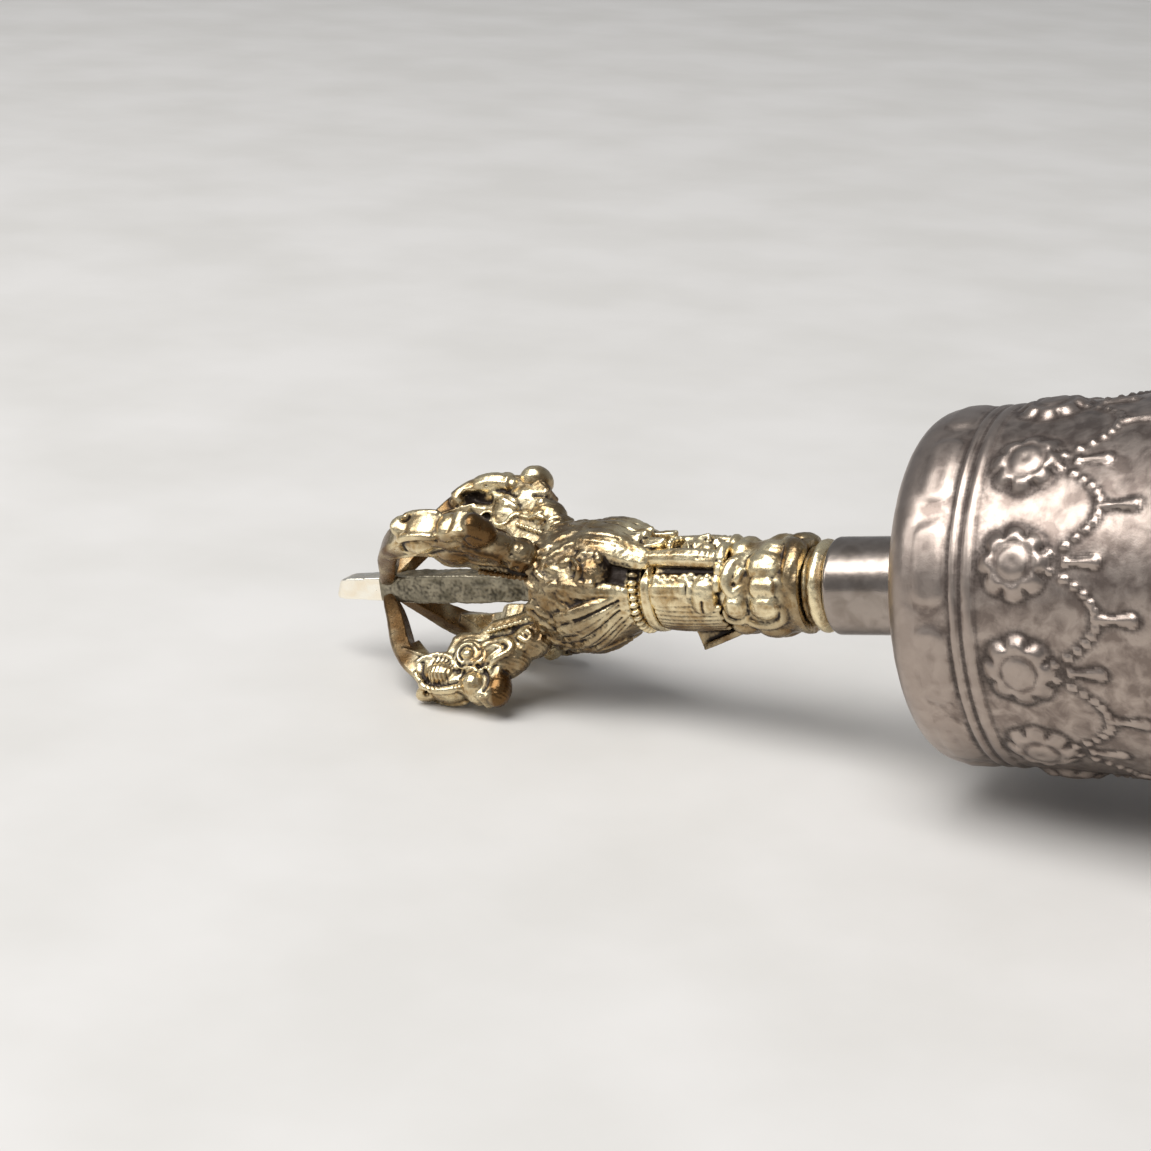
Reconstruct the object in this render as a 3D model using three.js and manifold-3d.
// A Tibetan hand bell lying on its side: a flared bronze bell, a cast brass handle that ends in a
// five-pronged vajra, and a loose iron clapper.
// Units are millimetres. The bell is built upright on its axis, with the mouth plane at height zero
// and the vajra on top, and is then laid down on its rim and its two lower vajra heads.
import * as THREE from 'three';
import { mergeVertices } from 'three/addons/utils/BufferGeometryUtils.js';
import Module from 'manifold-3d';

const wasm = await Module();
wasm.setup();

// Gap between neighbouring pieces, and the smallest distance that counts as two points
const clearance = 0.3;
const mergeDistance = 1e-5;

// Bell
const mouthRadius = 46;
const shoulderRadius = 27.8;
const flareLength = 17;
const lipHeight = 1.6;
const lipChamfer = 0.8;
const lipThickness = 4.4;
const wallThickness = 3;
const crownEdgeHeight = 76.1;
const crownCornerRadius = 5.6;
const crownDome = 1.4;
const crownThickness = 4;
const crownSeatRadius = 9.4;
const lowerBeltHeight = 16.8;
const middleBeltHeight = 29.9;
const upperBeltDrop = 7.5;
const beltWidth = 3.6;
const beltRelief = 0.5;

// Ornament cast on the bell's wall, in equal steps round it
const ornamentCount = 11;
const ornamentAngle = -67 * Math.PI / 180;
const ornamentRoot = 1;
const medallionDrop = 16;
const medallionRadius = 6;
const medallionRelief = 1.2;
const shoulderPetalDrop = 2.3;
const shoulderPetalLength = 6;
const shoulderPetalShare = 0.86;
const shoulderPetalRelief = 0.45;
const wallLeafShare = 0.47;
const wallLeafLength = 6.2;
const wallLeafRelief = 0.6;
const garlandDrop = 7;
const garlandSteps = 6;
const garlandWidth = 1.1;
const garlandRelief = 0.4;

// Rod through the handle, with the eye that the clapper hangs from
const rodRadius = 3;
const rodDepthInHub = 10;
const collarRadius = 5.4;
const collarThickness = 1.6;
const washerRadius = 9.5;
const washerThickness = 1.5;
const eyeRadius = 4;
const eyeWireRadius = 1.1;
const eyeSeat = 0.6;

// Handle, from the bell to the vajra
const neckRadius = 8;
const neckLength = 15.9;
const neckEdgeRadius = 1.3;
const neckFlare = 0.1;
const footRadius = 7.7;
const footLength = 3.6;
const footGroove = 1;
const vaseRadius = 8.8;
const vaseWaistRadius = 7.5;
const vaseWaistHeight = 7.1;
const vaseLength = 12.9;
const headRadius = 8;
const headNeckRadius = 6.9;
const headLength = 13;
const faceReach = 8.9;
const faceDepth = 4;
const faceWidth = 9.2;
const faceLength = 10;
const hairRollRadius = 1.9;
const hairRollReach = 8.8;
const hairRollAngle = 42;
const shawlReach = 10.6;
const shawlLength = 6.8;
const shawlThickness = 1.4;
const shawlWidth = 7;
const collarRingRadius = 8;
const collarRingLength = 1.9;
const beadRadius = 1.3;
const beadRingRadius = 7;
const beadCount = 18;
const beadRingLength = 2.4;
const hubRadius = 11.9;
const hubTopRadius = 10.4;
const hubLength = 16.7;
const petalCount = 8;
const petalThickness = 2.4;
const petalWidth = 7.4;
const crownLeafReach = 11.8;
const crownLeafOverhang = 0.6;

// Vajra: four curved prongs that rise from sea-dragon heads, round one straight square prong
// Angles of the curved prongs about the axis, from the side that points up when the bell lies down
const prongAngles = { upper_back: 45, lower_back: 135, lower_front: 225, upper_front: 315 };
const cageLength = 33.4;
const headReach = 24.6;
const headWidth = 8.8;
const prongThickness = 3.4;
const knobRadius = 2.7;
const centralProngWidth = 5;
const centralProngBaseWidth = 4;
const centralProngFootLength = 2;
const centralTipWidth = 3.7;
const centralTipLength = 10.3;

// Clapper
const linkRadius = 4.6;
const linkWireRadius = 0.9;
const clapperEyeRadius = 3.6;
const clapperEyeWireRadius = 1.1;
const shankRadius = 1.7;
const clapperLength = 48.5;
const bulbRadius = 7;
const bulbLength = 17;
const bulbTopRadius = 3;
const bulbSocketDepth = 9;
const bulbWallGap = 0.4;

// Smoothness of the turned pieces
const bellSegments = 40;
const handleSegments = 24;
const wireSegments = 20;
const wireSides = 8;

// Height over which the slope of the inner wall is measured
const slopeStep = 1;

// Heights of the stacked pieces
const shoulderHeight = crownEdgeHeight - crownCornerRadius;
const crownTop = crownEdgeHeight + crownDome;
const crownUnderside = crownTop - crownThickness;
const neckBottom = crownTop + clearance;
const neckTop = neckBottom + neckLength;
const footBottom = neckTop + clearance;
const footTop = footBottom + footLength;
const vaseBottom = footTop + clearance;
const vaseTop = vaseBottom + vaseLength;
const headBottom = vaseTop + clearance;
const headTop = headBottom + headLength;
const collarRingBottom = headTop + clearance;
const collarRingTop = collarRingBottom + collarRingLength;
const beadRingBottom = collarRingTop + clearance;
const beadRingTop = beadRingBottom + beadRingLength;
const hubBottom = beadRingTop + clearance;
const hubTop = hubBottom + hubLength;
const cageBottom = hubTop + clearance;
const cageTop = cageBottom + cageLength;
const rodTop = hubBottom + rodDepthInHub;
const boreRadius = rodRadius + clearance;

// Heights of the hanging pieces under the crown
const washerTop = crownUnderside - clearance;
const collarTop = washerTop - washerThickness - clearance;
const collarBottom = collarTop - collarThickness;
const eyeHeight = collarBottom + eyeSeat - eyeRadius - eyeWireRadius;
const linkHeight = eyeHeight - eyeRadius + eyeWireRadius + linkWireRadius + clearance - linkRadius;
const pivotHeight = linkHeight - linkRadius;
const clapperEyeDrop = clapperEyeRadius - linkWireRadius - clapperEyeWireRadius - clearance;

const bellBronze = { color: 0x9c8a72, roughness: 0.32, metalness: 1 };
const neckBronze = { color: 0xa79c8c, roughness: 0.25, metalness: 1 };
const castBrass = { color: 0xb59a5c, roughness: 0.38, metalness: 1 };
const roughBrass = { color: 0x8a8474, roughness: 0.7, metalness: 1 };
const darkIron = { color: 0x4a443d, roughness: 0.6, metalness: 1 };

// Solids and booleans

function toSolid(geometry) {
  const shell = geometry.clone();
  shell.deleteAttribute('normal');
  shell.deleteAttribute('uv');
  const merged = mergeVertices(shell, mergeDistance);
  return new wasm.Manifold(new wasm.Mesh({
    numProp: 3,
    vertProperties: new Float32Array(merged.attributes.position.array),
    triVerts: new Uint32Array(merged.index.array),
  }));
}

function toGeometry(solid) {
  const mesh = solid.getMesh();
  const geometry = new THREE.BufferGeometry();
  geometry.setAttribute('position', new THREE.BufferAttribute(mesh.vertProperties, 3));
  geometry.setIndex(new THREE.BufferAttribute(mesh.triVerts, 1));
  return geometry;
}

function joined(geometries) {
  const solids = geometries.map(toSolid);
  return toGeometry(solids.reduce((whole, next) => whole.add(next)));
}

function cut(geometry, tool) {
  return toGeometry(toSolid(geometry).subtract(toSolid(tool)));
}

// The smallest convex solid round a list of points
function wrapped(points) {
  return toGeometry(wasm.Manifold.hull(points));
}

function common(geometry, other) {
  return toGeometry(toSolid(geometry).intersect(toSolid(other)));
}

// Basic forms on the bell's axis

// A profile is a list of [radius, height] points that runs up on the outside and down on the inside
function turned(profile, segments) {
  const points = profile.map(([radius, height]) => new THREE.Vector2(radius, height));
  return new THREE.LatheGeometry(points, segments).rotateX(Math.PI / 2);
}

function turnedRing(outerProfile, innerRadius, segments) {
  const bottom = outerProfile[0][1];
  const top = outerProfile.at(-1)[1];
  return turned([[innerRadius, bottom], ...outerProfile, [innerRadius, top], [innerRadius, bottom]],
    segments);
}

// Points of a curve between two ends that swells outwards to a largest radius halfway up
function swell(bottom, top, bottomRadius, topRadius, bulge, steps) {
  const points = [];
  for (let step = 0; step <= steps; step += 1) {
    const share = step / steps;
    const straight = bottomRadius + (topRadius - bottomRadius) * share;
    points.push([straight + bulge * Math.sin(Math.PI * share), bottom + (top - bottom) * share]);
  }
  return points;
}

function ellipsoid(out, height, halfOut, halfWide, halfHigh, sides = 10, rings = 6) {
  return new THREE.SphereGeometry(1, sides, rings)
    .rotateX(Math.PI / 2)
    .scale(halfOut, halfWide, halfHigh)
    .translate(out, 0, height);
}

// A plate cut to an outline of [radius, height] points, centred on the plane through the axis
function plate(outline, width) {
  const shape = new THREE.Shape(outline.map(([radius, height]) => new THREE.Vector2(radius, height)));
  return new THREE.ExtrudeGeometry(shape, { depth: width, bevelEnabled: false })
    .rotateX(Math.PI / 2)
    .translate(0, width / 2, 0);
}

function ringInPlaneOfAxis(radius, wireRadius, height) {
  return new THREE.TorusGeometry(radius, wireRadius, wireSides, wireSegments)
    .rotateX(Math.PI / 2)
    .translate(0, 0, height);
}

function aroundAxis(geometry, count) {
  const copies = [];
  for (let index = 0; index < count; index += 1) {
    copies.push(geometry.clone().rotateZ(2 * Math.PI * index / count));
  }
  return copies;
}

function part(name, geometry, finish) {
  const mesh = new THREE.Mesh(geometry, new THREE.MeshStandardMaterial(finish));
  mesh.name = name;
  return mesh;
}

// Bell

function outerWallRadius(height) {
  const fall = Math.exp(-Math.max(height - lipHeight, 0) / flareLength);
  return shoulderRadius + (mouthRadius - shoulderRadius) * fall;
}

function wallAt(height) {
  const fall = Math.exp(-height / flareLength);
  return wallThickness + (lipThickness - wallThickness) * fall;
}

function innerWallRadius(height) {
  return outerWallRadius(height) - wallAt(height);
}

function quarterRound(centreRadius, centreHeight, reach, steps) {
  const points = [];
  for (let step = 1; step <= steps; step += 1) {
    const angle = Math.PI / 2 * step / steps;
    points.push([centreRadius + reach * Math.cos(angle), centreHeight + reach * Math.sin(angle)]);
  }
  return points;
}

function belt(height) {
  const low = height - beltWidth / 2;
  const high = height + beltWidth / 2;
  return [
    [outerWallRadius(low), low],
    [outerWallRadius(low) + beltRelief, low + beltRelief],
    [outerWallRadius(high) + beltRelief, high - beltRelief],
    [outerWallRadius(high), high],
  ];
}

// Points up a wall, closer together where it flares
function wallPoints(radiusAt, bottom, top) {
  const shares = [0.07, 0.16, 0.42, 0.6, 1];
  return shares.map((share) => {
    const height = bottom + (top - bottom) * share;
    return [radiusAt(height), height];
  });
}

// The outside of the wall, with two raised belts above the flare and one under the shoulder
function outerWallProfile() {
  const beltHeights = [lowerBeltHeight, middleBeltHeight, shoulderHeight - upperBeltDrop];
  const plain = wallPoints(outerWallRadius, lipHeight, shoulderHeight).filter(
    ([, height]) => beltHeights.every((middle) => Math.abs(height - middle) > beltWidth));
  return [...plain, ...beltHeights.flatMap(belt)].sort((lower, upper) => lower[1] - upper[1]);
}

// A raised form on the wall, from rows of [way round the wall, height, relief]
function raised(rows) {
  return wrapped(rows.flatMap(([across, height, relief]) => {
    const radius = outerWallRadius(height);
    const angle = across / radius;
    return [radius + relief, radius - ornamentRoot].map(
      (reach) => [reach * Math.cos(angle), reach * Math.sin(angle), height]);
  }));
}

function medallion() {
  const middle = shoulderHeight - medallionDrop;
  const ring = (radius, relief) => [0, 1, 2, 3, 4, 5, 6, 7].map((corner) => {
    const angle = Math.PI * (corner + 0.5) / 4;
    return [radius * Math.cos(angle), middle + radius * Math.sin(angle), relief];
  });
  return raised([
    ...ring(medallionRadius, medallionRelief * 0.25),
    ...ring(medallionRadius * 0.72, medallionRelief * 0.85),
    [0, middle, medallionRelief],
  ]);
}

// A low broad petal between the upper belt and the shoulder
function shoulderPetal() {
  const middle = shoulderHeight - shoulderPetalDrop;
  const half = shoulderPetalShare * Math.PI / ornamentCount * outerWallRadius(middle);
  const outline = (shrink, relief) => [-1, -0.75, 0, 0.75, 1].flatMap((share) => {
    const reach = (shoulderPetalLength / 2 - shrink) * (Math.abs(share) === 1 ? 0.5 : 1);
    return [-reach, reach].map((rise) => [share * (half - shrink), middle + rise, relief]);
  });
  return raised([...outline(0, shoulderPetalRelief / 4), ...outline(1, shoulderPetalRelief)]);
}

// A lotus leaf that hangs from the middle belt with its tip towards the lip
function wallLeaf() {
  const top = middleBeltHeight - beltWidth / 2 - clearance;
  const half = wallLeafShare * Math.PI / ornamentCount * outerWallRadius(top);
  const outline = (size, relief) => [[0, 1], [0.7, 0.75], [1, 0.25], [0.9, 0]].flatMap(
    ([across, down]) => [-1, 1].map(
      (side) => [side * across * half * size, top - wallLeafLength * down * size, relief]));
  return raised([...outline(1, wallLeafRelief / 2), ...outline(0.65, wallLeafRelief)]);
}

// A string that hangs between two medallions, in straight stretches
function garland() {
  const top = shoulderHeight - medallionDrop - medallionRadius * 0.9;
  const half = Math.PI / ornamentCount * outerWallRadius(top) * 0.85;
  const at = (step) => {
    const share = 2 * step / garlandSteps - 1;
    return [share * half, top - garlandDrop * (1 - share * share)];
  };
  const stretches = [];
  for (let step = 0; step < garlandSteps; step += 1) {
    const ends = [at(step), at(step + 1)];
    stretches.push(raised(ends.flatMap(([across, height]) => [-0.5, 0.5].map(
      (side) => [across, height + side * garlandWidth, garlandRelief]))));
  }
  return joined(stretches);
}

// Medallions, petals, leaves and garlands round the wall
function wallOrnament() {
  const halfStep = Math.PI / ornamentCount;
  const between = garland().rotateZ(halfStep);
  const leaves = [-1, 1].map((side) => wallLeaf().rotateZ(side * halfStep / 2));
  const step = [medallion(), shoulderPetal(), between, ...leaves];
  return step.flatMap((form) => aroundAxis(form.rotateZ(ornamentAngle), ornamentCount));
}

function bellShell() {
  const cornerCentre = outerWallRadius(shoulderHeight) - crownCornerRadius;
  const innerCorner = Math.max(crownCornerRadius - wallThickness, crownCornerRadius / 4);
  const innerTop = crownUnderside - innerCorner;
  const innerCornerCentre = innerWallRadius(innerTop) - innerCorner;
  const profile = [
    [mouthRadius - lipChamfer, 0],
    [mouthRadius, lipHeight],
    ...outerWallProfile(),
    ...quarterRound(cornerCentre, shoulderHeight, crownCornerRadius, 4),
    [crownSeatRadius, crownTop],
    [boreRadius, crownTop],
    [boreRadius, crownUnderside],
    ...quarterRound(innerCornerCentre, innerTop, innerCorner, 3).reverse(),
    ...wallPoints(innerWallRadius, 0, innerTop).reverse(),
    [innerWallRadius(0), 0],
    [mouthRadius - lipChamfer, 0],
  ];
  const wall = turned(profile, bellSegments);
  return part('bell_shell', joined([wall, ...wallOrnament()]), bellBronze);
}

// Handle pieces that are strung on the rod

function neckSleeve() {
  const edge = quarterRound(neckRadius - neckEdgeRadius, neckTop - neckEdgeRadius, neckEdgeRadius, 4);
  const outside = [[neckRadius + neckFlare, neckBottom], [neckRadius, neckTop - neckEdgeRadius], ...edge];
  return part('neck_sleeve', turnedRing(outside, boreRadius, handleSegments), neckBronze);
}

// Two rolls with a groove between them, the larger one against the neck
function footRing() {
  const middle = (footBottom + footTop) / 2;
  const groove = footRadius - footGroove;
  const outside = [
    ...swell(footBottom, middle, groove, groove, footGroove, 4),
    ...swell(middle, footTop, groove, groove, footGroove / 2, 4).slice(1),
  ];
  return part('foot_ring', turnedRing(outside, boreRadius, handleSegments), castBrass);
}

function handleVase() {
  const waist = vaseBottom + vaseWaistHeight;
  const bulge = vaseRadius - vaseWaistRadius;
  const outside = [
    ...swell(vaseBottom, waist, vaseWaistRadius, vaseWaistRadius, bulge, 6),
    ...swell(waist, vaseTop, vaseWaistRadius, headNeckRadius, bulge, 5).slice(1),
  ];
  return part('handle_vase', turnedRing(outside, boreRadius, handleSegments), castBrass);
}

// The face looks up when the bell lies down. Rolls of hair frame it, and a shawl tip stands off its back.
function goddessHead() {
  const bulge = headRadius - headNeckRadius;
  const skull = turnedRing(
    swell(headBottom, headTop, headNeckRadius, headNeckRadius, bulge, 6), boreRadius, handleSegments);
  const face = ellipsoid(
    faceReach - faceDepth, headBottom + headLength / 2, faceDepth, faceWidth / 2, faceLength / 2);
  const roll = new THREE.CapsuleGeometry(hairRollRadius, headLength - 2 * hairRollRadius, 4, 10)
    .rotateX(Math.PI / 2)
    .translate(hairRollReach - hairRollRadius, 0, (headBottom + headTop) / 2);
  const rolls = [1, -1].map((side) => roll.clone().rotateZ(side * hairRollAngle * Math.PI / 180));
  const shawl = plate([
    [headNeckRadius - shawlThickness, headBottom],
    [headRadius, headBottom],
    [shawlReach, headBottom + shawlLength],
    [headNeckRadius, headBottom + shawlLength - shawlThickness],
  ], shawlWidth).rotateZ(Math.PI);
  const bore = turned([
    [0, vaseTop],
    [boreRadius, vaseTop],
    [boreRadius, collarRingBottom],
    [0, collarRingBottom],
  ], handleSegments);
  return part('goddess_head', cut(joined([skull, face, ...rolls, shawl]), bore), castBrass);
}

function collarRing() {
  const edge = collarRingLength / 5;
  const outside = [
    [collarRingRadius - edge, collarRingBottom],
    [collarRingRadius, collarRingBottom + edge],
    [collarRingRadius, collarRingTop - edge],
    [collarRingRadius - edge, collarRingTop],
  ];
  return part('collar_ring', turnedRing(outside, boreRadius, handleSegments), castBrass);
}

function beadRing() {
  const middle = (beadRingBottom + beadRingTop) / 2;
  const outside = [[beadRingRadius, beadRingBottom], [beadRingRadius, beadRingTop]];
  const core = turnedRing(outside, boreRadius, handleSegments);
  const halfHigh = Math.min(beadRadius, beadRingLength / 2);
  const bead = ellipsoid(beadRingRadius, middle, beadRadius, beadRadius * 0.92, halfHigh, 6, 4);
  return part('bead_ring', joined([core, ...aroundAxis(bead, beadCount)]), castBrass);
}

// A lotus bulb. The petals on the face's side are the leaves of a crown and reach over the bead ring.
function lotusHub() {
  const outside = [
    [hubRadius * 0.66, hubBottom],
    [hubRadius * 0.7, hubBottom + hubLength * 0.12],
    [hubRadius * 0.92, hubBottom + hubLength * 0.25],
    [hubRadius, hubBottom + hubLength * 0.46],
    [hubRadius * 0.99, hubBottom + hubLength * 0.72],
    [hubRadius * 0.95, hubBottom + hubLength * 0.9],
    [hubTopRadius, hubTop],
    [0, hubTop],
  ];
  const boreTop = rodTop + clearance;
  const profile = [[0, boreTop], [boreRadius, boreTop], [boreRadius, hubBottom], ...outside];
  const body = turned([...profile, profile[0]], handleSegments);
  const petal = (reach, low, high) => ellipsoid(
    reach - petalThickness, (low + high) / 2, petalThickness, petalWidth / 2, (high - low) / 2);
  const petalTop = hubBottom + hubLength * 0.5;
  const petals = aroundAxis(petal(hubRadius * 0.97, hubBottom + hubLength * 0.1, petalTop), petalCount);
  const leaf = petal(crownLeafReach, hubBottom - crownLeafOverhang, petalTop);
  const leaves = [-1, 0, 1].map((side) => leaf.clone().rotateZ(side * 2 * Math.PI / petalCount));
  return part('lotus_hub', joined([body, ...petals, ...leaves]), castBrass);
}

// Vajra

// One dragon-headed prong, built in the plane through the axis. Places are shares of the head's reach
// away from the axis and of the cage's length along it.
function prongGeometry() {
  const place = ([outShare, alongShare]) => [headReach * outShare, cageBottom + cageLength * alongShare];
  const halfWidth = headWidth / 2;
  const mass = ([outShare, alongShare, halfOut, halfHigh, widthShare]) => ellipsoid(
    ...place([outShare, alongShare]), headReach * halfOut, halfWidth * widthShare, cageLength * halfHigh);
  // Place, half sizes and share of the head's width of the neck, cheek, snout, brow, mane and knob stem
  const masses = [
    [0.4, 0.12, 0.17, 0.15, 0.95],
    [0.62, 0.3, 0.22, 0.16, 1],
    [0.74, 0.53, 0.17, 0.12, 0.8],
    [0.52, 0.4, 0.13, 0.1, 0.95],
    [0.8, 0.14, 0.2, 0.085, 0.9],
    [0.78, 0.3, 0.14, 0.06, 0.4],
  ].map(mass);
  const knob = ellipsoid(...place([0.88, 0.305]), knobRadius, knobRadius, knobRadius);
  // Side view of the head, from its seat on the hub round the mane, the snout and the throat
  const head = plate([
    [0.21, 0], [0.5, 0], [0.63, 0.06], [0.86, 0.07], [0.99, 0.13], [0.97, 0.26], [0.88, 0.42],
    [0.88, 0.52], [0.6, 0.59], [0.46, 0.48], [0.4, 0.35], [0.28, 0.26],
  ].map(place), headWidth * 0.62);
  const inner = centralProngWidth / 2 + clearance * 2;
  const bladeRoot = [[0.76, 0.64], [0.86, 0.56], [0.6, 0.52], [0.56, 0.61]].map(place);
  const blade = plate([
    [inner, cageTop],
    ...[[0.2, 0.95], [0.32, 0.905], [0.44, 0.855], [0.55, 0.79], [0.65, 0.72]].map(place),
    ...bladeRoot,
    ...[[0.5, 0.68], [0.43, 0.745], [0.28, 0.79]].map(place),
    [inner, place([0, 0.83])[1]],
  ], prongThickness);
  const tooth = plate([[0.42, 0.705], [0.56, 0.66], [0.56, 0.58]].map(place), prongThickness * 0.6);
  const whole = joined([...masses, knob, head, blade, tooth]);
  const seat = turned([[0, cageBottom], [headReach, cageBottom], [headReach, cageTop], [0, cageTop]],
    handleSegments * 2);
  return common(whole, seat);
}

function outerProngs() {
  const geometry = prongGeometry();
  return Object.entries(prongAngles).map(([place, angle]) => {
    const turnedGeometry = geometry.clone().rotateZ(angle * Math.PI / 180);
    return part(`prong_${place}`, turnedGeometry, castBrass);
  });
}

// A four-sided bar that swells inside the cage and tapers to a flat tip beyond the curved prongs
function centralProng() {
  const tipTop = cageTop + centralTipLength;
  const halfWidths = [
    [centralProngWidth / 2, cageBottom],
    [centralProngBaseWidth / 2, cageBottom + centralProngFootLength],
    [centralProngWidth / 2, cageBottom + cageLength / 2],
    [centralProngBaseWidth / 2, cageTop],
    [centralTipWidth / 2, tipTop],
  ];
  // The corners of a four-sided turned bar lie at the diagonal of its width
  const corners = halfWidths.map(([half, height]) => [half * Math.SQRT2, height]);
  const profile = [[0, cageBottom], ...corners, [0, tipTop]];
  const bar = turned(profile, 4).rotateZ(Math.PI / 4);
  return part('central_prong', bar, roughBrass);
}

// Clapper and what it hangs from

function hangerRod() {
  const rod = turned([
    [0, collarBottom],
    [collarRadius, collarBottom],
    [collarRadius, collarTop],
    [rodRadius, collarTop],
    [rodRadius, rodTop],
    [0, rodTop],
  ], handleSegments);
  const eye = ringInPlaneOfAxis(eyeRadius, eyeWireRadius, eyeHeight);
  return part('hanger_rod', joined([rod, eye]), darkIron);
}

function crownWasher() {
  const outside = [[washerRadius, washerTop - washerThickness], [washerRadius, washerTop]];
  return part('crown_washer', turnedRing(outside, boreRadius, handleSegments), darkIron);
}

function clapperLink() {
  const ring = new THREE.TorusGeometry(linkRadius, linkWireRadius, wireSides, wireSegments)
    .rotateY(Math.PI / 2)
    .translate(0, 0, linkHeight);
  return part('clapper_link', ring, darkIron);
}

const bulbBottom = -clapperLength;
const bulbTop = bulbBottom + bulbLength;

// The bulb's outline below the pivot, from its lower end to its upper end
function bulbOutline() {
  const widest = bulbBottom + bulbLength * 0.38;
  const points = [];
  for (let step = 1; step <= 5; step += 1) {
    const angle = Math.PI / 2 * step / 5;
    points.push([bulbRadius * Math.sin(angle), widest - (widest - bulbBottom) * Math.cos(angle)]);
  }
  for (let step = 1; step <= 5; step += 1) {
    const share = step / 5;
    const fall = (1 - Math.cos(Math.PI * share)) / 2;
    points.push([bulbRadius + (bulbTopRadius - bulbRadius) * fall, widest + (bulbTop - widest) * share]);
  }
  return points;
}

function clapperShank() {
  const eye = ringInPlaneOfAxis(clapperEyeRadius, clapperEyeWireRadius, -clapperEyeDrop);
  const top = -clapperEyeDrop - clapperEyeRadius;
  const bottom = bulbTop - bulbSocketDepth;
  const shank = turned([[0, bottom], [shankRadius, bottom], [shankRadius, top], [0, top]], 12);
  return part('clapper_shank', joined([eye, shank]), darkIron);
}

function clapperBulb() {
  const socketRadius = shankRadius + clearance;
  const socketBottom = bulbTop - bulbSocketDepth - clearance;
  const profile = [[0, bulbBottom], ...bulbOutline(), [socketRadius, bulbTop],
    [socketRadius, socketBottom], [0, socketBottom]];
  return part('clapper_bulb', turned(profile, handleSegments), darkIron);
}

// Least gap between the bulb and the wall when the clapper hangs at an angle to the axis
function bulbGapAt(swing) {
  const gaps = bulbOutline().map(([radius, drop]) => {
    const sideways = radius * Math.cos(swing) - drop * Math.sin(swing);
    const height = pivotHeight + drop * Math.cos(swing) + radius * Math.sin(swing);
    const half = slopeStep / 2;
    const slope = (outerWallRadius(height - half) - outerWallRadius(height + half)) / slopeStep;
    return (innerWallRadius(height) - sideways) / Math.hypot(1, slope);
  });
  return Math.min(...gaps);
}

// The angle at which the resting clapper lies against the wall
function restingSwing() {
  let free = 0;
  let touching = Math.PI / 3;
  for (let step = 0; step < 40; step += 1) {
    const middle = (free + touching) / 2;
    if (bulbGapAt(middle) > bulbWallGap) free = middle;
    else touching = middle;
  }
  return free;
}

// Assembly

const handle = [
  neckSleeve(), footRing(), handleVase(), goddessHead(), collarRing(), beadRing(), lotusHub(),
  ...outerProngs(), centralProng(),
];

const clapper = new THREE.Group();
clapper.position.z = pivotHeight;
clapper.rotation.y = restingSwing();
clapper.add(clapperShank(), clapperBulb());

const uprightBell = new THREE.Group();
uprightBell.add(bellShell(), hangerRod(), crownWasher(), clapperLink(), ...handle, clapper);

// The bell lies on its rim and on the lowest points of its vajra, which set the tilt of its axis
function restingTilt() {
  let tilt = Math.PI / 2;
  for (const { geometry: { attributes: { position } } } of handle) {
    for (let index = 0; index < position.count; index += 1) {
      const depth = -position.getX(index);
      const distance = position.getZ(index) - lipHeight;
      tilt = Math.min(tilt, Math.atan2(mouthRadius - depth, distance));
    }
  }
  return tilt;
}

uprightBell.rotation.y = -(Math.PI / 2 + restingTilt());

const tibetanHandBell = new THREE.Group();
tibetanHandBell.add(uprightBell);
tibetanHandBell.updateMatrixWorld(true);

// The origin is the middle of the bell's footprint, on the surface that it lies on
const extent = new THREE.Box3().setFromObject(tibetanHandBell, true);
const middle = extent.getCenter(new THREE.Vector3());
uprightBell.position.set(-middle.x, -middle.y, -extent.min.z);
tibetanHandBell.updateMatrixWorld(true);

export default tibetanHandBell;
